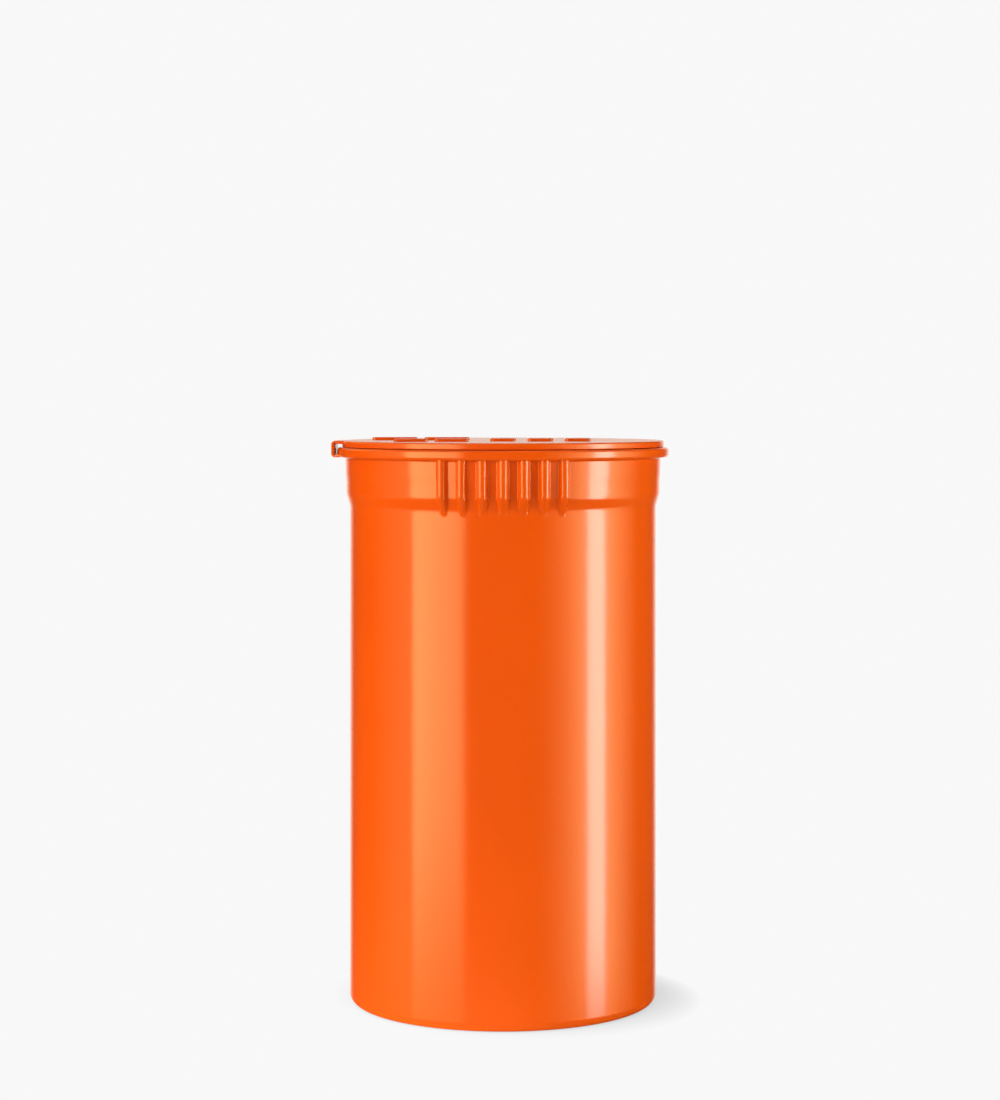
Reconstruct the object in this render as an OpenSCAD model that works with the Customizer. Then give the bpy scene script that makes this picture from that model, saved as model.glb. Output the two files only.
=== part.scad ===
// One-piece prescription vial: a round body, a squeeze-open mouth and a lid on a double film hinge.
// The origin is at the centre of the base, +Z is up, the hinge is at -X and the grip ribs at -Y and +Y.

/* [Body] */
// Outside diameter of the plain body
body_d = 39; // [32:0.5:48]
// Height of the closed vial, without the marks on the lid
total_h = 71.2; // [55:0.2:100]
// Thickness of the wall
wall_t = 1.1; // [0.9:0.1:1.3]
// Thickness of the floor
floor_t = 1.4; // [1.2:0.1:2]
// Radius of the heel round the base
heel_r = 1; // [0.6:0.1:1.4]

/* [Collar] */
// How far the collar stands out from the body
collar_step = 0.6; // [0.5:0.05:0.8]
// Height of the collar, from the shoulder to the flange
collar_h = 4.6; // [4:0.1:7]
// Height of the conical shoulder
shoulder_h = 1.6; // [1.2:0.1:3]

/* [Grip ribs] */
// Number of ribs in each of the two groups
ribs = 7; // [3:1:9]
// Angle from one rib to the next
rib_pitch = 7.2; // [6.6:0.2:9]
// How far a rib's crest stands out from the body
rib_rise = 1.3; // [1:0.05:1.6]
// Width of a rib at its foot
rib_w = 1.3; // [1.1:0.05:1.5]
// Width of a rib at its crest
rib_crest_w = 0.9; // [0.6:0.05:1]

/* [Rim and lid] */
// How far the flange stands out from the body
flange_step = 1.63; // [1.4:0.01:2.2]
// Thickness of the flange
flange_t = 1.25; // [1:0.05:2]
// How far the lid stands out from the body
lid_step = 1; // [0.8:0.05:1.3]
// Thickness of the lid
lid_t = 0.8; // [0.7:0.05:1.2]
// Depth of the plug skirt under the lid
plug_depth = 4.4; // [4:0.1:6]
// Clearance round the plug skirt in the mouth
plug_gap = 0.45; // [0.4:0.05:0.7]
// How far the seal bead and the snap bead stand out
bead_rise = 0.15; // [0.1:0.01:0.17]
// Height of the raised marks on the lid
mark_h = 0.35; // [0.2:0.05:0.6]

/* [Hinge] */
// Width of the hinge
hinge_w = 7; // [6:0.5:14]
// Thickness of the hinge strap
strap_t = 0.45; // [0.4:0.05:0.7]
// Thickness of the two films that bend
film_t = 0.3; // [0.2:0.05:0.3]
// Thickness of the hinge tabs
tab_t = 0.4; // [0.35:0.05:0.5]
// Gap between the flange's edge and the strap
strap_gap = 0.15; // [0.12:0.01:0.6]

/* [Hidden] */
$fn = 96;
MARK_PADS = 3;
MARK_BARS = 4;

orange = [0.93, 0.34, 0.05];
tiny = 0.01;

// radii
body_r = body_d / 2;
inner_r = body_r - wall_t;
collar_r = body_r + collar_step;
waist_r = collar_r - 0.13;
mouth_r = collar_r - wall_t;
flange_r = body_r + flange_step;
lid_r = body_r + lid_step;
crest_r = body_r + rib_rise;
plug_r = mouth_r - plug_gap;
plug_t = 0.8;
plug_inner_r = plug_r - plug_t;
foot_r = body_r - 2.6;

// heights
foot_h = 0.35;
floor_top = floor_t + 1;
lid_gap = 0.05;
lid_z = total_h - lid_t;
flange_top = lid_z - lid_gap;
flange_z = flange_top - flange_t;
collar_z = flange_z - collar_h;
shoulder_z = collar_z - shoulder_h;
wall_top = shoulder_z - 1.2;
waist_z = flange_z - 3.1;
waist_h = 1;
snap_z = flange_z - 0.9;
seal_z = flange_z - 1.6;
rib_tip_z = shoulder_z - 0.4;
rib_slope_z = collar_z - 0.4;

// hinge: the strap's outer face, the corner radius of the films and their two centres
strap_x = -(flange_r + strap_gap + strap_t);
strap_in_x = strap_x + strap_t;
film_r = strap_t;
film_low_z = flange_z + film_r;
film_high_z = total_h - film_r;

// marks on the lid: a row of pads, and two rows of bars with a length for each row
pad_pitch = 4.7;
pad_w = 3.2;
pad_d = 6;
pad_y = -6.5;
bar_lengths = [5.8, 4.2];
bar_d = 2;
bar_gap = 0.9;
bar_x = -4.3;
bar_y = 2.2;
bar_row = 11.5;

// Tube with sharp edges
module tube(r_out, r_in, z_low, z_high) {
    translate([0, 0, z_low])
        rotate_extrude()
            translate([r_in, 0])
                square([r_out - r_in, z_high - z_low]);
}

// Rectangle of width w and height h with its two right-hand corners rounded
module nosed_rectangle(w, h, r_low, r_high) {
    difference() {
        square([w, h]);
        translate([w - r_low, -tiny]) square([r_low + tiny, r_low + tiny]);
        translate([w - r_high, h - r_high]) square([r_high + tiny, r_high + tiny]);
    }
    intersection() {
        union() {
            translate([w - r_low, r_low]) circle(r_low);
            translate([w - r_high, h - r_high]) circle(r_high);
        }
        square([w + tiny, h]);
    }
}

// Half section of everything inside the body's outer skin, from the wall up to the flange
module skin_section() {
    polygon([
        [0, floor_top],
        [body_r, floor_top],
        [body_r, shoulder_z],
        [waist_r, collar_z],
        [waist_r, waist_z],
        [collar_r, waist_z + waist_h],
        [collar_r, flange_z],
        [0, flange_z]
    ]);
}

module rim_section() {
    translate([0, flange_z])
        nosed_rectangle(flange_r, flange_t, 0.2, 0.3);
}

module lid_section() {
    translate([0, lid_z])
        nosed_rectangle(lid_r, lid_t, 0.15, 0.2);
}

// Floor with the heel outside, a fillet inside and a shallow recess that leaves a standing ring
module vial_floor() {
    fillet = floor_top - floor_t;
    color(orange)
        rotate_extrude()
            difference() {
                union() {
                    square([body_r - heel_r, floor_top]);
                    translate([0, heel_r]) square([body_r, floor_top - heel_r]);
                    translate([body_r - heel_r, heel_r]) circle(heel_r);
                }
                translate([-tiny, floor_t]) square([inner_r - fillet + tiny, fillet + tiny]);
                translate([inner_r - fillet, floor_top]) circle(fillet);
                polygon([
                    [-tiny, -tiny],
                    [foot_r, -tiny],
                    [foot_r - foot_h, foot_h],
                    [-tiny, foot_h]
                ]);
                translate([-2 * heel_r, -tiny]) square([2 * heel_r, floor_top + 2 * tiny]);
            }
}

module vial_wall() {
    color(orange) tube(body_r, inner_r, floor_top, wall_top);
}

// Top of the wall, conical shoulder and collar, which widens a little below the flange
module shoulder_collar() {
    color(orange)
        rotate_extrude()
            difference() {
                skin_section();
                translate([-tiny, floor_top - tiny]) square([body_r + 1, wall_top - floor_top + tiny]);
                polygon([
                    [-tiny, floor_top],
                    [inner_r, floor_top],
                    [inner_r, shoulder_z],
                    [mouth_r, collar_z],
                    [mouth_r, flange_z + tiny],
                    [-tiny, flange_z + tiny]
                ]);
            }
}

// Low round bead; side is 1 on the outside of radius r and -1 on the inside
module bead(r, z, side) {
    bead_r = 0.5;
    rotate_extrude()
        intersection() {
            translate([r - side * (bead_r - bead_rise), z]) circle(bead_r);
            translate([side > 0 ? r : r - bead_rise, z - bead_r]) square([bead_rise, 2 * bead_r]);
        }
}

module mouth_snap_bead() {
    color(orange) bead(mouth_r, snap_z, -1);
}

module rim_flange() {
    chamfer = 0.25;
    color(orange)
        rotate_extrude()
            difference() {
                rim_section();
                translate([-tiny, flange_z - tiny]) square([mouth_r + tiny, flange_t + 2 * tiny]);
                polygon([
                    [mouth_r - tiny, flange_top - chamfer],
                    [mouth_r + chamfer, flange_top],
                    [mouth_r + chamfer, flange_top + tiny],
                    [mouth_r - tiny, flange_top + tiny]
                ]);
            }
}

// One tapered rib with a round crest, cut to sit on the skin, at the given angle round the body
module grip_rib(angle) {
    root_r = body_r - 1;
    color(orange)
        rotate([0, 0, angle])
            difference() {
                intersection() {
                    rotate([90, 0, 0])
                        linear_extrude(height = rib_w, center = true)
                            polygon([
                                [root_r, rib_tip_z],
                                [body_r, rib_tip_z],
                                [crest_r, rib_slope_z],
                                [crest_r, flange_z],
                                [root_r, flange_z]
                            ]);
                    translate([0, 0, rib_tip_z])
                        linear_extrude(height = flange_z - rib_tip_z) {
                            polygon([
                                [root_r, -rib_w / 2],
                                [body_r, -rib_w / 2],
                                [crest_r - rib_crest_w / 2, -rib_crest_w / 2],
                                [crest_r - rib_crest_w / 2, rib_crest_w / 2],
                                [body_r, rib_w / 2],
                                [root_r, rib_w / 2]
                            ]);
                            translate([crest_r - rib_crest_w / 2, 0]) circle(rib_crest_w / 2);
                        }
                }
                rotate_extrude($fn = 2 * $fn) skin_section();
            }
}

module grip_rib_front(i) {
    grip_rib(-90 + (i - (ribs + 1) / 2) * rib_pitch);
}

module grip_rib_rear(i) {
    grip_rib(90 + (i - (ribs + 1) / 2) * rib_pitch);
}

// Flat tab from a round edge of radius edge_r out to the strap's inner face
module hinge_tab(edge_r, z) {
    color(orange)
        translate([0, 0, z])
            difference() {
                translate([strap_in_x, -hinge_w / 2, 0]) cube([-strap_in_x, hinge_w, tab_t]);
                translate([0, 0, -1]) cylinder(r = edge_r, h = tab_t + 2, $fn = 4 * $fn);
            }
}

module hinge_tab_rim() {
    hinge_tab(flange_r, flange_z);
}

module hinge_tab_lid() {
    hinge_tab(lid_r, total_h - tab_t);
}

// Quarter round film that joins a tab to the strap; side is -1 below the strap and 1 above it
module film_hinge(z, side) {
    color(orange)
        translate([strap_in_x, hinge_w / 2, z])
            rotate([90, 0, 0])
                linear_extrude(height = hinge_w)
                    intersection() {
                        difference() {
                            circle(film_r);
                            circle(film_r - film_t);
                        }
                        translate([-film_r, side > 0 ? 0 : -film_r]) square(film_r);
                    }
}

module film_hinge_lower() {
    film_hinge(film_low_z, -1);
}

module film_hinge_upper() {
    film_hinge(film_high_z, 1);
}

module hinge_strap() {
    color(orange)
        translate([strap_x, -hinge_w / 2, film_low_z])
            cube([strap_t, hinge_w, film_high_z - film_low_z]);
}

module lid_disc() {
    color(orange) rotate_extrude() lid_section();
}

// Skirt of the plug, with a tapered lead at its lower edge
module lid_plug_skirt() {
    lead = 0.4;
    low_z = lid_z - plug_depth;
    color(orange)
        rotate_extrude()
            polygon([
                [plug_inner_r, lid_z],
                [plug_inner_r, low_z],
                [plug_r - lead, low_z],
                [plug_r, low_z + 2 * lead],
                [plug_r, lid_z]
            ]);
}

module plug_seal_bead() {
    color(orange) bead(plug_r, seal_z, 1);
}

module lid_pad_mark(i) {
    x = (i - 1) * pad_pitch;
    color(orange)
        translate([x - pad_w / 2, pad_y, total_h])
            cube([pad_w, pad_d, mark_h]);
}

module lid_bar_mark(i) {
    row = floor((i - 1) / 2);
    column = (i - 1) % 2;
    length = bar_lengths[row];
    x = bar_x - column * (length + bar_gap);
    color(orange)
        translate([x - length, bar_y - row * bar_row, total_h])
            cube([length, bar_d, mark_h]);
}

vial_floor();
vial_wall();
shoulder_collar();
mouth_snap_bead();
rim_flange();
for (i = [1:ribs]) {
    grip_rib_front(i);
    grip_rib_rear(i);
}
hinge_tab_rim();
film_hinge_lower();
hinge_strap();
film_hinge_upper();
hinge_tab_lid();
lid_disc();
lid_plug_skirt();
plug_seal_bead();
for (i = [1:MARK_PADS]) {
    lid_pad_mark(i);
}
for (i = [1:MARK_BARS]) {
    lid_bar_mark(i);
}
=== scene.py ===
"""Looks of a squeeze-top prescription vial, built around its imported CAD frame.

Lengths in this script are millimetres until a mesh or a light is made, where MM turns them into metres.
"""

import math

import bpy
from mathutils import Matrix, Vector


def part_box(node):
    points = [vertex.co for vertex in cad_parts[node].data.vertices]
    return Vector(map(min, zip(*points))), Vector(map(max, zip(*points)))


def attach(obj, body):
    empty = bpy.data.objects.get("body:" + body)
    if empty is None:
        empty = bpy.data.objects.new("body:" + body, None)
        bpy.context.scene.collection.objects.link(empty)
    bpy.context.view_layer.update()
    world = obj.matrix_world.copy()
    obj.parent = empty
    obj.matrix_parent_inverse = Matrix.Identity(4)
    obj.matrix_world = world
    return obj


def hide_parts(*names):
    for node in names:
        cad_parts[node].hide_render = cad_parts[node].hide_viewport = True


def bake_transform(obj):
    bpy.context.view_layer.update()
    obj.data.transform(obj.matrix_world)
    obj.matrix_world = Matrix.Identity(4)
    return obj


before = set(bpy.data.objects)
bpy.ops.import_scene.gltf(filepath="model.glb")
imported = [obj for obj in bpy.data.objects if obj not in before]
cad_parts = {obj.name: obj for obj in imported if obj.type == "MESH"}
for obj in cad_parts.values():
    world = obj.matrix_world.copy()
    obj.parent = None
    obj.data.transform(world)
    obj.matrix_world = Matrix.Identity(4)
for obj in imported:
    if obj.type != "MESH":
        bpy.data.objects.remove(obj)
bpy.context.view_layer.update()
MM = 0.001


# ---------------------------------------------------------------- sizes, from the frame where it has them

def low(node):
    return [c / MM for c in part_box(node)[0]]


def high(node):
    return [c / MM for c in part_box(node)[1]]


X, Y, Z = 0, 1, 2
BODY_R = round(high("vial_wall")[Y], 2)
FLANGE_R = round(high("rim_flange")[Y], 2)
LID_R = round(high("lid_disc")[Y], 2)
WALL_T = 1.1
INNER_R = BODY_R - WALL_T
COLLAR_R = BODY_R + 0.6
NECK_R = COLLAR_R - 0.04
WAIST_R = COLLAR_R - 0.13
MOUTH_R = COLLAR_R - WALL_T

FLOOR_T = 1.4
FOOT_H = 0.35
FOOT_R = BODY_R - 2.6
HEEL_R = 1.0
FLANGE_Z = low("rim_flange")[Z]
FLANGE_TOP = high("rim_flange")[Z]
COLLAR_Z = FLANGE_Z - 4.6
SHOULDER_Z = COLLAR_Z - 1.6
WAIST_Z = FLANGE_Z - 3.1
NECK_Z = WAIST_Z + 1
SNAP_Z = FLANGE_Z - 0.9

LID_Z = low("lid_disc")[Z]
LID_TOP = high("lid_disc")[Z]
PLUG_Z = low("lid_plug_skirt")[Z]
PLUG_R = MOUTH_R - 0.45
PLUG_INNER_R = PLUG_R - 0.8
SEAL_Z = FLANGE_Z - 1.6
BEAD_H = 0.36
BEAD_RISE = 0.15

RIBS = 7
RIB_PITCH = 7.2
RIB_CREST_R = BODY_R + 1.3
RIB_CREST_ROUND = 0.5
RIB_HALF_W = 0.68
RIB_TAPER = 0.24
RIB_TIP_Z = SHOULDER_Z - 0.4
RIB_BEND_Z = COLLAR_Z - 0.1
RIB_BEND_BLEND = 0.35
RIB_SIDE_SLOPE = 3.0
RIB_BLEND = 0.34

STRAP_OUT = low("hinge_strap")[X]
STRAP_IN = high("hinge_strap")[X]
STRAP_LOW = low("hinge_strap")[Z]
STRAP_HIGH = high("hinge_strap")[Z]
HINGE_HALF_W = high("hinge_strap")[Y]
FILM_R = STRAP_IN - STRAP_OUT
FILM_T = 0.3
TAB_T = 0.4
TUCK = 0.012
HINGE_EDGE_R = 0.08

LATHE_SIDES = 288


# ---------------------------------------------------------------- mesh helpers

def rounded(corners, step=12.0):
    """Turns (u, v, corner radius) points into an outline with true arcs at the corners."""
    path = []
    last = len(corners) - 1
    for i, (u, v, radius) in enumerate(corners):
        if radius <= 0 or i in (0, last):
            path.append((u, v))
            continue
        (pu, pv, _), (nu, nv, _) = corners[i - 1], corners[i + 1]
        back, ahead = math.dist((u, v), (pu, pv)), math.dist((u, v), (nu, nv))
        bu, bv = (pu - u) / back, (pv - v) / back
        au, av = (nu - u) / ahead, (nv - v) / ahead
        opening = math.acos(max(-1.0, min(1.0, bu * au + bv * av)))
        turn = math.pi - opening
        if turn < 1e-3:
            path.append((u, v))
            continue
        reach = min(radius * math.tan(turn / 2), 0.48 * back, 0.48 * ahead)
        radius = reach / math.tan(turn / 2)
        mid = math.hypot(bu + au, bv + av)
        centre_d = radius / math.cos(turn / 2)
        cu, cv = u + (bu + au) / mid * centre_d, v + (bv + av) / mid * centre_d
        start = math.atan2(v + bv * reach - cv, u + bu * reach - cu)
        end = math.atan2(v + av * reach - cv, u + au * reach - cu)
        sweep = (end - start + math.pi) % (2 * math.pi) - math.pi
        steps = max(2, round(abs(math.degrees(sweep)) / step))
        for k in range(steps + 1):
            a = start + sweep * k / steps
            path.append((cu + radius * math.cos(a), cv + radius * math.sin(a)))
    return path


def supported(path, margin=0.12, shortest=0.5):
    """Adds a point near both ends of each long stretch, so that a fillet's shading stays in the fillet."""
    made = [path[0]]
    for (u0, v0), (u1, v1) in zip(path, path[1:]):
        length = math.dist((u0, v0), (u1, v1))
        if length > shortest:
            for t in (margin / length, 1 - margin / length):
                made.append((u0 + (u1 - u0) * t, v0 + (v1 - v0) * t))
        made.append((u1, v1))
    return made


def mesh_object(name, points, faces, sharp=40.0):
    """Makes a smooth-shaded object from points in millimetres."""
    mesh = bpy.data.meshes.new(name)
    mesh.from_pydata([(x * MM, y * MM, z * MM) for x, y, z in points], [], faces)
    mesh.validate()
    mesh.polygons.foreach_set("use_smooth", [True] * len(mesh.polygons))
    mesh.set_sharp_from_angle(angle=math.radians(sharp))
    obj = bpy.data.objects.new(name, mesh)
    bpy.context.scene.collection.objects.link(obj)
    return obj


def lathe(name, corners, sides=LATHE_SIDES):
    """Closed solid of revolution round Z; the outline starts and ends on the axis and runs anticlockwise."""
    path = supported(rounded(corners))
    points = [(0.0, 0.0, path[0][1])]
    for r, z in path[1:-1]:
        for k in range(sides):
            a = 2 * math.pi * k / sides
            points.append((r * math.cos(a), r * math.sin(a), z))
    points.append((0.0, 0.0, path[-1][1]))
    rings = len(path) - 2
    faces = []
    for k in range(sides):
        n = (k + 1) % sides
        faces.append((0, 1 + n, 1 + k))
        for i in range(rings - 1):
            a, b = 1 + i * sides, 1 + (i + 1) * sides
            faces.append((a + k, a + n, b + n, b + k))
        top = 1 + (rings - 1) * sides
        faces.append((top + k, top + n, len(points) - 1))
    return mesh_object(name, points, faces)


def inset(outline, distance):
    """Moves each point of a closed anticlockwise outline inwards by a distance."""
    moved = []
    n = len(outline)
    for i, (u, v) in enumerate(outline):
        (pu, pv), (nu, nv) = outline[i - 1], outline[(i + 1) % n]
        lu, lv = math.dist((u, v), (pu, pv)), math.dist((u, v), (nu, nv))
        in_u = -(v - pv) / lu - (nv - v) / lv
        in_v = (u - pu) / lu + (nu - u) / lv
        size = math.hypot(in_u, in_v)
        miter = max(0.5, size / 2)
        moved.append((u + in_u / size * distance / miter, v + in_v / size * distance / miter))
    return moved


def prism(name, outline, place, levels):
    """Solid with one outline at each level; a level is its place along the third direction and its inset."""
    points, faces = [], []
    n = len(outline)
    for w, distance in levels:
        points += [place(u, v, w) for u, v in inset(outline, distance)]
    for i in range(len(levels) - 1):
        a, b = i * n, (i + 1) * n
        faces += [(a + k, a + (k + 1) % n, b + (k + 1) % n, b + k) for k in range(n)]
    faces.append(tuple(reversed(range(n))))
    faces.append(tuple(range((len(levels) - 1) * n, len(levels) * n)))
    return mesh_object(name, points, faces)


def round_end(at, radius, direction, steps=4):
    """Levels for an edge rounded by an arc; direction is 1 at the high end and -1 at the low end."""
    levels = []
    for k in range(steps + 1):
        a = math.pi / 2 * k / steps
        levels.append((at - direction * radius * (1 - math.sin(a)), radius * (1 - math.cos(a))))
    return levels if direction > 0 else levels[::-1]


# ---------------------------------------------------------------- materials

class Nodes:
    """Short way to write a node tree."""

    def __init__(self, tree):
        self.tree = tree
        tree.nodes.clear()

    def add(self, kind, **settings):
        node = self.tree.nodes.new(kind)
        for key, value in settings.items():
            if hasattr(node, key):
                setattr(node, key, value)
            else:
                node.inputs[key.replace("_", " ")].default_value = value
        return node

    def link(self, out, into):
        self.tree.links.new(out, into)


def ramp(n, value, start_end, low_high, kind="SMOOTHSTEP"):
    """Maps a value from one range to another and gives back the output."""
    node = n.add("ShaderNodeMapRange", interpolation_type=kind)
    names = ("From Min", "From Max", "To Min", "To Max")
    for socket, setting in zip(names, (*start_end, *low_high)):
        node.inputs[socket].default_value = setting
    n.link(value, node.inputs["Value"])
    return node.outputs["Result"]


def orange_plastic(name, colour, roughness=0.16, grain=1.0, flat_roughness=0.0):
    """Glossy moulded polypropylene: cloudy pigment, faint flow along the wall, fine orange-peel skin.

    flat_roughness is added on faces that look up, where the mould was less polished.
    """
    material = bpy.data.materials.new(name)
    material.use_nodes = True
    n = Nodes(material.node_tree)
    shader = n.add("ShaderNodeBsdfPrincipled", IOR=1.49)
    output = n.add("ShaderNodeOutputMaterial")
    n.link(shader.outputs[0], output.inputs[0])
    coords = n.add("ShaderNodeTexCoord")

    cloud = n.add("ShaderNodeTexNoise", Scale=90.0, Detail=3.0, Roughness=0.5)
    n.link(coords.outputs["Object"], cloud.inputs["Vector"])
    stretch = n.add("ShaderNodeMapping")
    stretch.inputs["Scale"].default_value = (1.0, 1.0, 0.12)
    n.link(coords.outputs["Object"], stretch.inputs["Vector"])
    flow = n.add("ShaderNodeTexNoise", Scale=420.0, Detail=2.0, Roughness=0.4)
    n.link(stretch.outputs[0], flow.inputs["Vector"])

    pigment = n.add("ShaderNodeMix", data_type="RGBA")
    pigment.inputs["A"].default_value = (*[c * 0.94 for c in colour], 1)
    pigment.inputs["B"].default_value = (*[min(1.0, c * 1.06) for c in colour], 1)
    n.link(cloud.outputs["Fac"], pigment.inputs["Factor"])
    n.link(pigment.outputs["Result"], shader.inputs["Base Color"])

    gloss = ramp(n, flow.outputs["Fac"], (0, 1), (roughness * 0.85, roughness * 1.15), "LINEAR")
    facing = n.add("ShaderNodeSeparateXYZ")
    n.link(coords.outputs["Normal"], facing.inputs[0])
    dull = ramp(n, facing.outputs["Z"], (0.9, 1), (0, flat_roughness), "LINEAR")
    total = n.add("ShaderNodeMath", operation="ADD")
    n.link(gloss, total.inputs[0])
    n.link(dull, total.inputs[1])
    n.link(total.outputs[0], shader.inputs["Roughness"])

    peel = n.add("ShaderNodeTexNoise", Scale=700.0, Detail=2.0, Roughness=0.45)
    n.link(coords.outputs["Object"], peel.inputs["Vector"])
    heights = n.add("ShaderNodeMath", operation="MULTIPLY_ADD")
    heights.inputs[1].default_value = 2.5
    n.link(flow.outputs["Fac"], heights.inputs[0])
    n.link(peel.outputs["Fac"], heights.inputs[2])
    bump = n.add("ShaderNodeBump", Strength=0.35 * grain, Distance=0.000012)
    n.link(heights.outputs[0], bump.inputs["Height"])
    n.link(bump.outputs[0], shader.inputs["Normal"])
    return material


ORANGE = (0.745, 0.09, 0.001)
body_plastic = orange_plastic("orange_body_plastic", ORANGE)
lid_plastic = orange_plastic("orange_lid_plastic", ORANGE, roughness=0.2, flat_roughness=0.05)
hinge_plastic = orange_plastic("orange_hinge_plastic", ORANGE, roughness=0.22, grain=0.6)


def finish_piece(obj, body, material, nodes):
    obj.data.materials.append(material)
    if body:
        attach(obj, body)
    if nodes:
        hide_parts(*nodes)
    return obj


# ---------------------------------------------------------------- the vial

def vial_shell():
    """Floor, wall, shoulder, collar, mouth and flange: one moulding with one continuous skin."""
    nub_r, nub_z = 1.3, 0.12
    chamfer = 0.25
    outline = [
        (0, nub_z, 0),
        (nub_r - 0.3, nub_z, 0.2),
        (nub_r, FOOT_H, 0.15),
        (FOOT_R - FOOT_H, FOOT_H, 0.3),
        (FOOT_R, 0, 0.2),
        (BODY_R, 0, HEEL_R),
        (BODY_R, SHOULDER_Z, 2.5),
        (WAIST_R, COLLAR_Z, 2.0),
        (WAIST_R, WAIST_Z, 3.0),
        (NECK_R, NECK_Z, 3.0),
        (COLLAR_R, FLANGE_Z, 0.22),
        (FLANGE_R, FLANGE_Z, 0.38),
        (FLANGE_R, FLANGE_TOP, 0.32),
        (MOUTH_R + chamfer, FLANGE_TOP, 0.12),
        (MOUTH_R, FLANGE_TOP - chamfer, 0.2),
        (MOUTH_R, SNAP_Z + BEAD_H, 0.2),
        (MOUTH_R - BEAD_RISE, SNAP_Z, 0.4),
        (MOUTH_R, SNAP_Z - BEAD_H, 0.2),
        (MOUTH_R, COLLAR_Z, 1.5),
        (INNER_R, SHOULDER_Z, 1.5),
        (INNER_R, FLOOR_T, 1.0),
        (0, FLOOR_T, 0),
    ]
    nodes = ["vial_floor", "vial_wall", "shoulder_collar", "mouth_snap_bead", "rim_flange"]
    finish_piece(lathe("vial_shell", outline), "vial", body_plastic, nodes)


def skin_radius(z):
    """Radius of the collar, shoulder and body's outer skin at height z."""
    stations = [
        (SHOULDER_Z, BODY_R),
        (COLLAR_Z, WAIST_R),
        (WAIST_Z, WAIST_R),
        (NECK_Z, NECK_R),
        (FLANGE_Z, COLLAR_R),
    ]
    if z <= stations[0][0]:
        return BODY_R
    for (z0, r0), (z1, r1) in zip(stations, stations[1:]):
        if z <= z1:
            return r0 + (r1 - r0) * (z - z0) / (z1 - z0)
    return COLLAR_R


def soft_max(a, b, width):
    return max(a, b) + max(width - abs(a - b), 0) ** 2 / (4 * width)


def rib_height(u, z, base):
    """Height of a rib above the skin at a distance u from its middle plane; it narrows towards its tip."""
    below = min(1.0, max(0.0, (RIB_BEND_Z - z) / (RIB_BEND_Z - RIB_TIP_Z)))
    side = (RIB_HALF_W - RIB_TAPER * below - abs(u)) * RIB_SIDE_SLOPE
    slope_r = BODY_R + (z - RIB_TIP_Z) * (RIB_CREST_R - BODY_R) / (RIB_BEND_Z - RIB_TIP_Z)
    crest = -soft_max(-slope_r, -RIB_CREST_R, RIB_BEND_BLEND) - base - u ** 2 / (2 * RIB_CREST_ROUND)
    solid = -soft_max(-side, -crest, RIB_BLEND)
    return soft_max(solid, 0, RIB_BLEND)


def grip_rib(name, angle):
    """One rib: a rounded ridge whose foot blends into the skin, closed at the back inside the wall."""
    half, columns = 0.95, 38
    us = [half * (2 * k / columns - 1) for k in range(columns + 1)]
    tip_rows, tall_rows = 34, 10
    z_low, z_mid, z_high = RIB_TIP_Z - 0.35, COLLAR_Z + 0.6, FLANGE_Z + 0.1
    zs = [z_low + (z_mid - z_low) * k / tip_rows for k in range(tip_rows + 1)]
    zs += [z_mid + (z_high - z_mid) * k / tall_rows for k in range(1, tall_rows + 1)]
    root_depth, sink = 0.4, 0.003

    def place(u, r, z):
        a = math.radians(angle) + u / BODY_R
        return (r * math.cos(a), r * math.sin(a), z)

    points, faces = [], []
    for z in zs:
        base = skin_radius(z)
        points += [place(u, base + rib_height(u, z, base) - sink, z) for u in us]
    wide, tall = len(us), len(zs)
    for j in range(tall - 1):
        for i in range(wide - 1):
            a = j * wide + i
            faces.append((a, a + 1, a + wide + 1, a + wide))
    back = len(points)
    for z in zs:
        root = skin_radius(z) - root_depth
        points += [place(-half, root, z), place(half, root, z)]
    for j in range(tall - 1):
        left, right = j * wide, j * wide + wide - 1
        bl, br = back + 2 * j, back + 2 * j + 1
        faces.append((left + wide, bl + 2, bl, left))
        faces.append((right, br, br + 2, right + wide))
        faces.append((bl + 2, br + 2, br, bl))
    top = (tall - 1) * wide
    faces.append((back, back + 1, *range(wide - 1, -1, -1)))
    faces.append((back + 2 * tall - 1, back + 2 * tall - 2, *range(top, top + wide)))
    rib = mesh_object(name, points, faces, sharp=60.0)
    finish_piece(rib, "vial", body_plastic, [name])


def grip_ribs():
    for i in range(1, RIBS + 1):
        turn = (i - (RIBS + 1) / 2) * RIB_PITCH
        grip_rib(f"grip_rib_front_{i}", -90 + turn)
        grip_rib(f"grip_rib_rear_{i}", 90 + turn)


# ---------------------------------------------------------------- the hinge

def hinge_half_width(x, edge_r):
    """The hinge flares with a small fillet, nearly a quarter circle, where it runs into a round edge."""
    flare_r, flare_share = 0.6, 0.98
    edge_x = -math.sqrt(edge_r ** 2 - HINGE_HALF_W ** 2)
    t = min(1.0, max(0.0, (x - (edge_x - flare_r)) / flare_r))
    return HINGE_HALF_W + flare_r * (1 - math.sqrt(1 - min(t, flare_share) ** 2))


def film_outline(edge_r):
    """Section of a tab and its film, up to the strap, in x and height over the tab's flat face."""
    tab_root, film_end = -(edge_r - 1.0), STRAP_IN + 0.25
    thin = FILM_R - FILM_T
    steps = 10
    outer, inner = [], []
    for k in range(steps + 1):
        a = math.pi / 2 * k / steps
        outer.append((STRAP_IN - FILM_R * math.sin(a), FILM_R * (1 - math.cos(a))))
        inner.append((STRAP_IN - thin * math.sin(a), FILM_R - thin * math.cos(a)))
    tab = [(tab_root, 0), (tab_root, TAB_T), (film_end, TAB_T)]
    return outer[::-1] + tab + inner


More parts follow.
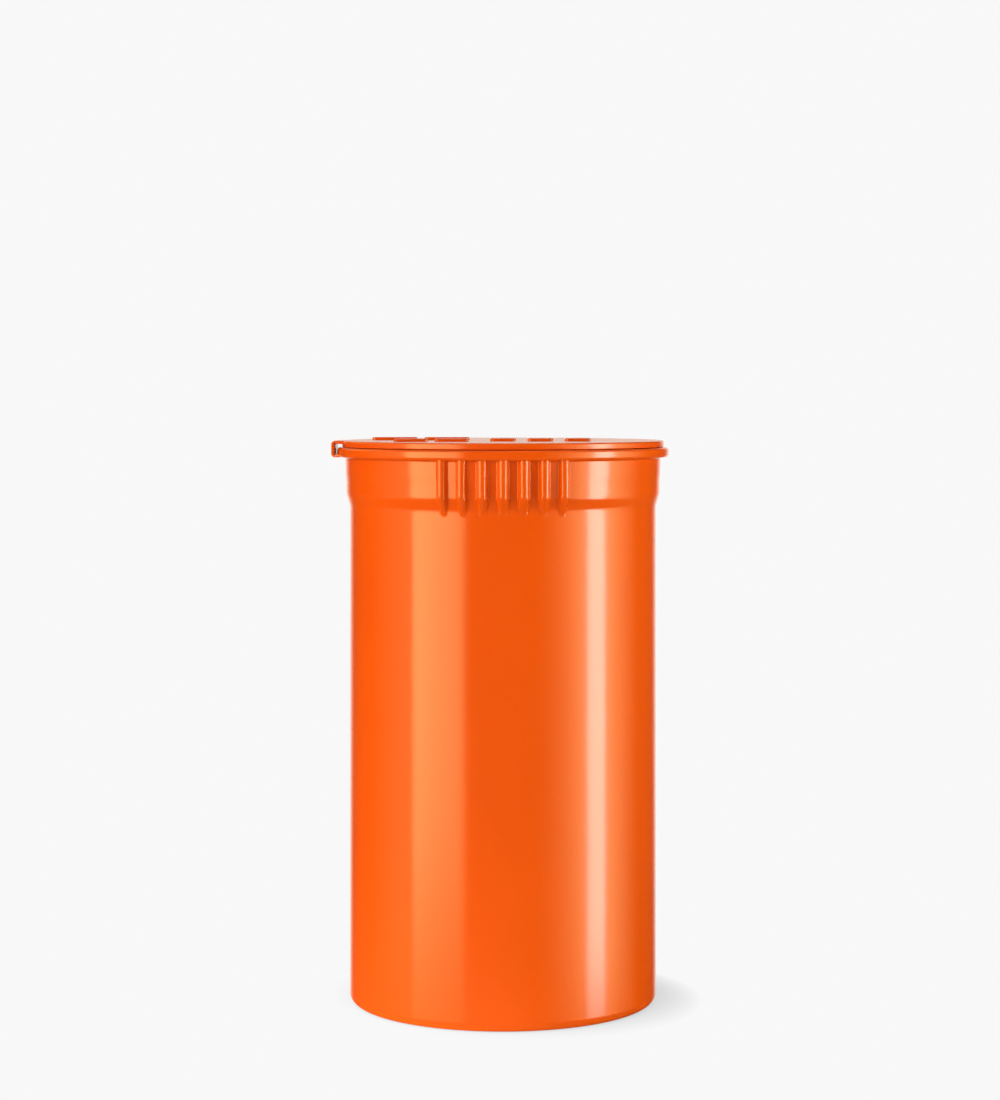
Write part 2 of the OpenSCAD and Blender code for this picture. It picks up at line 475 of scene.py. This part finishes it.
def hinge_film(name, edge_r, height, nodes):
    """Tab and bending film in one piece, with rounded side edges, blended across its joint."""
    outline = [(x, height(h)) for x, h in film_outline(edge_r)]
    area = sum(a[0] * b[1] - b[0] * a[1] for a, b in zip(outline, outline[1:] + outline[:1]))
    if area < 0:
        outline.reverse()
    edge = HINGE_EDGE_R / HINGE_HALF_W
    levels = round_end(-1.0, edge, -1) + round_end(1.0, edge, 1)
    levels = [(w, d * HINGE_HALF_W) for w, d in levels]

    def place(x, z, w):
        return (x, -w * hinge_half_width(x, edge_r), z)

    piece = prism(name, outline, place, levels)
    piece.data.materials.append(hinge_plastic)
    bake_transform(piece)
    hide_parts(*nodes)


def hinge():
    low_z, high_z = FLANGE_Z + TUCK, LID_TOP - TUCK
    hinge_film(
        "hinge_film_lower", FLANGE_R, lambda h: low_z + h,
        ["hinge_tab_rim", "film_hinge_lower"],
    )
    hinge_film(
        "hinge_film_upper", LID_R, lambda h: high_z - h,
        ["hinge_tab_lid", "film_hinge_upper"],
    )
    overlap, corner = 0.02, 0.1
    z0, z1 = STRAP_LOW - overlap, STRAP_HIGH + overlap
    outline = rounded([
        (STRAP_IN, (z0 + z1) / 2, 0),
        (STRAP_IN, z1, corner),
        (STRAP_OUT, z1, 0),
        (STRAP_OUT, z0, 0),
        (STRAP_IN, z0, corner),
        (STRAP_IN, (z0 + z1) / 2, 0),
    ])[:-1]
    levels = round_end(-HINGE_HALF_W, HINGE_EDGE_R, -1) + round_end(HINGE_HALF_W, HINGE_EDGE_R, 1)
    strap = prism("hinge_strap_band", outline, lambda x, z, w: (x, -w, z), levels)
    finish_piece(strap, "hinge_strap", hinge_plastic, ["hinge_strap"])


# ---------------------------------------------------------------- the lid

def lid_shell():
    """Lid disc with its plug skirt and seal bead: one continuous skin."""
    lead = 0.4
    outline = [
        (0, LID_Z, 0),
        (PLUG_INNER_R, LID_Z, 0.5),
        (PLUG_INNER_R, PLUG_Z, 0.15),
        (PLUG_R - lead, PLUG_Z, 0.15),
        (PLUG_R, PLUG_Z + 2 * lead, 0.6),
        (PLUG_R, SEAL_Z - BEAD_H, 0.2),
        (PLUG_R + BEAD_RISE, SEAL_Z, 0.4),
        (PLUG_R, SEAL_Z + BEAD_H, 0.2),
        (PLUG_R, LID_Z, 0.3),
        (LID_R, LID_Z, 0.12),
        (LID_R, LID_TOP, 0.22),
        (0, LID_TOP, 0),
    ]
    nodes = ["lid_disc", "lid_plug_skirt", "plug_seal_bead"]
    finish_piece(lathe("lid_shell", outline), "lid", lid_plastic, nodes)


def lid_mark(node):
    """Raised mark with rounded corners and edges, sunk a little into the lid."""
    (x0, y0, z0), (x1, y1, z1) = low(node), high(node)
    corner, edge, sink = 0.45, 0.12, 0.1
    middle = (x0 + x1) / 2
    corners = [(middle, y0, 0), (x1, y0, corner), (x1, y1, corner), (x0, y1, corner)]
    corners += [(x0, y0, corner), (middle, y0, 0)]
    outline = rounded(corners)[:-1]
    levels = [(z0 - sink, 0.0)] + round_end(z1, edge, 1)
    mark = prism(node + "_raised", outline, lambda u, v, w: (u, v, w), levels)
    finish_piece(mark, "lid", lid_plastic, [node])


vial_shell()
grip_ribs()
hinge()
lid_shell()
for node_name in sorted(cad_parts):
    if node_name.startswith(("lid_pad_mark_", "lid_bar_mark_")):
        lid_mark(node_name)


# ---------------------------------------------------------------- stage: floor, world, softboxes, camera

BACKDROP = 0.94
FLOOR_BOUNCE = 0.66
SHADOW_SHARE = 0.5


def pale_floor():
    """Plain pale floor, as bright as the backdrop, with a small soft painted shadow on the right of the
    base.

    The light it throws back on the object is painted into its glow, stronger close to the base on the left,
    under the left softbox.
    From below it is clear, so that the underside can be looked at.
    """
    size, drop = 4000, -0.02
    corners = [(-size, -size, drop), (size, -size, drop), (size, size, drop), (-size, size, drop)]
    floor = mesh_object("pale_floor", corners, [(0, 1, 2, 3)])
    material = bpy.data.materials.new("pale_floor")
    material.use_nodes = True
    n = Nodes(material.node_tree)
    # painted shadow: ambient occlusion along a normal leaning towards the left softbox dims the glow the
    # camera sees near the base
    towards_light = n.add("ShaderNodeCombineXYZ", X=-0.8, Y=-0.7, Z=0.4)
    shade = n.add("ShaderNodeAmbientOcclusion", samples=16, Distance=0.006)
    n.link(towards_light.outputs[0], shade.inputs["Normal"])
    place = n.add("ShaderNodeNewGeometry")
    split = n.add("ShaderNodeSeparateXYZ")
    n.link(place.outputs["Position"], split.inputs[0])
    distance = n.add("ShaderNodeVectorMath", operation="LENGTH")
    n.link(place.outputs["Position"], distance.inputs[0])
    far = ramp(n, distance.outputs["Value"], (0.1, 0.2), (0, 1))
    unshaded = n.add("ShaderNodeMath", operation="MAXIMUM")
    n.link(shade.outputs["AO"], unshaded.inputs[0])
    n.link(far, unshaded.inputs[1])
    level = ramp(n, unshaded.outputs[0], (0, 1), (SHADOW_SHARE * BACKDROP, BACKDROP), "LINEAR")
    # painted pool of light: the glow that lights the object is raised near the base on its left and lowered
    # on its right
    near = ramp(n, distance.outputs["Value"], (0.02, 0.09), (1, 0))
    side = ramp(n, split.outputs["X"], (-0.02, 0.03), (1.2, -0.5))
    bounce = n.add("ShaderNodeMath", operation="MULTIPLY_ADD")
    bounce.inputs[2].default_value = FLOOR_BOUNCE
    n.link(near, bounce.inputs[0])
    n.link(side, bounce.inputs[1])

    path = n.add("ShaderNodeLightPath")
    strength = n.add("ShaderNodeMix", data_type="FLOAT")
    n.link(bounce.outputs[0], strength.inputs["A"])
    n.link(path.outputs["Is Camera Ray"], strength.inputs["Factor"])
    n.link(level, strength.inputs["B"])
    glow = n.add("ShaderNodeEmission")
    n.link(strength.outputs["Result"], glow.inputs["Strength"])
    clear = n.add("ShaderNodeBsdfTransparent")
    sides = n.add("ShaderNodeMixShader")
    n.link(place.outputs["Backfacing"], sides.inputs["Fac"])
    n.link(glow.outputs[0], sides.inputs[1])
    n.link(clear.outputs[0], sides.inputs[2])
    output = n.add("ShaderNodeOutputMaterial")
    n.link(sides.outputs[0], output.inputs[0])
    floor.data.materials.append(material)
    floor.visible_glossy = False


def studio_world():
    """The camera sees a plain backdrop; a dim room, its ceiling and the wall behind light the object."""
    world = bpy.data.worlds.new("studio")
    bpy.context.scene.world = world
    world.use_nodes = True
    n = Nodes(world.node_tree)
    coords = n.add("ShaderNodeTexCoord")
    split = n.add("ShaderNodeSeparateXYZ")
    n.link(coords.outputs["Generated"], split.inputs[0])
    wall = ramp(n, split.outputs["Y"], (0.86, 0.99), (0.03, 1.3))
    ceiling = ramp(n, split.outputs["Z"], (0.3, 0.9), (0, 0.35))
    room = n.add("ShaderNodeMath", operation="ADD")
    n.link(wall, room.inputs[0])
    n.link(ceiling, room.inputs[1])
    path = n.add("ShaderNodeLightPath")
    strength = n.add("ShaderNodeMix", data_type="FLOAT")
    strength.inputs["B"].default_value = BACKDROP
    n.link(path.outputs["Is Camera Ray"], strength.inputs["Factor"])
    n.link(room.outputs[0], strength.inputs["A"])
    tint = n.add("ShaderNodeMix", data_type="RGBA")
    tint.inputs["A"].default_value = (1, 0.9, 0.78, 1)
    tint.inputs["B"].default_value = (1, 1, 1, 1)
    n.link(path.outputs["Is Camera Ray"], tint.inputs["Factor"])
    background = n.add("ShaderNodeBackground")
    n.link(tint.outputs["Result"], background.inputs["Color"])
    n.link(strength.outputs["Result"], background.inputs["Strength"])
    output = n.add("ShaderNodeOutputWorld")
    n.link(background.outputs[0], output.inputs[0])


def softbox(name, azimuths, heights, strengths, fades, colour, power=1.0, radius=450):
    """Curved upright panel round the vial at a radius, glowing inwards.

    azimuths are degrees from the front, positive towards +X, and strengths belong to them; the glow goes
    from the weaker to the stronger end by the given power. fades are the shares of the panel over which the
    glow fades in from its low and high azimuth, its bottom and its top.
    """
    steps = 24
    points, faces, places = [], [], []
    for k in range(steps + 1):
        a = math.radians(azimuths[0] + (azimuths[1] - azimuths[0]) * k / steps)
        x, y = radius * math.sin(a), -radius * math.cos(a)
        points += [(x, y, heights[0]), (x, y, heights[1])]
    for k in range(steps):
        faces.append((2 * k, 2 * k + 2, 2 * k + 3, 2 * k + 1))
        left, right = k / steps, (k + 1) / steps
        places += [(left, 0), (right, 0), (right, 1), (left, 1)]
    panel = mesh_object(name, points, faces)
    uv = panel.data.uv_layers.new(name="panel")
    for loop, place in zip(uv.data, places):
        loop.uv = place

    material = bpy.data.materials.new(name)
    material.use_nodes = True
    n = Nodes(material.node_tree)
    coords = n.add("ShaderNodeTexCoord")
    split = n.add("ShaderNodeSeparateXYZ")
    n.link(coords.outputs["UV"], split.inputs[0])

    def combine(operation, a, b):
        node = n.add("ShaderNodeMath", operation=operation)
        n.link(a, node.inputs[0])
        if isinstance(b, float):
            node.inputs[1].default_value = b
        else:
            n.link(b, node.inputs[1])
        return node.outputs[0]

    across = split.outputs["X"]
    weak, strong = (0, 1) if strengths[1] >= strengths[0] else (1, 0)
    share = combine("POWER", ramp(n, across, (weak, strong), (0, 1), "LINEAR"), power)
    glow = ramp(n, share, (0, 1), (strengths[weak], strengths[strong]), "LINEAR")
    sides = ((across, 0.0, fades[0]), (across, 1.0, -fades[1]))
    sides += ((split.outputs["Y"], 0.0, fades[2]), (split.outputs["Y"], 1.0, -fades[3]))
    for value, start, fade in sides:
        glow = combine("MULTIPLY", glow, ramp(n, value, (start, start + fade), (0, 1)))
    emission = n.add("ShaderNodeEmission")
    emission.inputs["Color"].default_value = (*colour, 1)
    n.link(glow, emission.inputs["Strength"])
    output = n.add("ShaderNodeOutputMaterial")
    n.link(emission.outputs[0], output.inputs[0])
    panel.data.materials.append(material)
    panel.visible_camera = False


def studio_camera():
    """Level camera just above the lid, aimed at the vial's axis, framed by lens shift."""
    distance, eye_z = 351.0, 77.64
    data = bpy.data.cameras.new("studio_camera")
    data.sensor_width = 36.0
    data.lens = 89.94
    data.shift_x = -0.0027
    data.shift_y = -0.1456
    data.clip_start = 0.01
    data.clip_end = 20.0
    camera = bpy.data.objects.new("studio_camera", data)
    camera.location = (0, -distance * MM, eye_z * MM)
    camera.rotation_euler = (math.pi / 2, 0, 0)
    bpy.context.scene.collection.objects.link(camera)
    bpy.context.scene.camera = camera


pale_floor()
studio_world()
WARM = (1, 0.8, 0.34)
PALE = (1, 1, 0.8)
softbox("softbox_left", (-71.5, -25.5), (-125, 330), (8.2, 4.5), (0.09, 0.13, 0.22, 0.1), WARM)
softbox("softbox_left_wing", (-118, -71.5), (-110, 330), (0, 1.7), (0.05, 0.03, 0.1, 0.1), WARM, 1.5)
softbox("softbox_left_high", (-150, -80), (130, 500), (1.3, 1.3), (0.2, 0.2, 0.1, 0.1), WARM)
softbox("softbox_right_near", (20, 72), (-104, 230), (0, 8.5), (0.05, 0.01, 0.03, 0.1), WARM, 2.0)
softbox("softbox_right_far", (72, 122), (-104, 230), (8.5, 0), (0.01, 0.05, 0.03, 0.1), WARM, 2.0)
softbox(
    "softbox_right_strip", (62.5, 81.5), (-110, 230), (12.5, 12.5), (0.12, 0.12, 0.1, 0.1), PALE, radius=440,
)
studio_camera()

scene = bpy.context.scene
scene.view_settings.view_transform = "Standard"
scene.view_settings.look = "None"
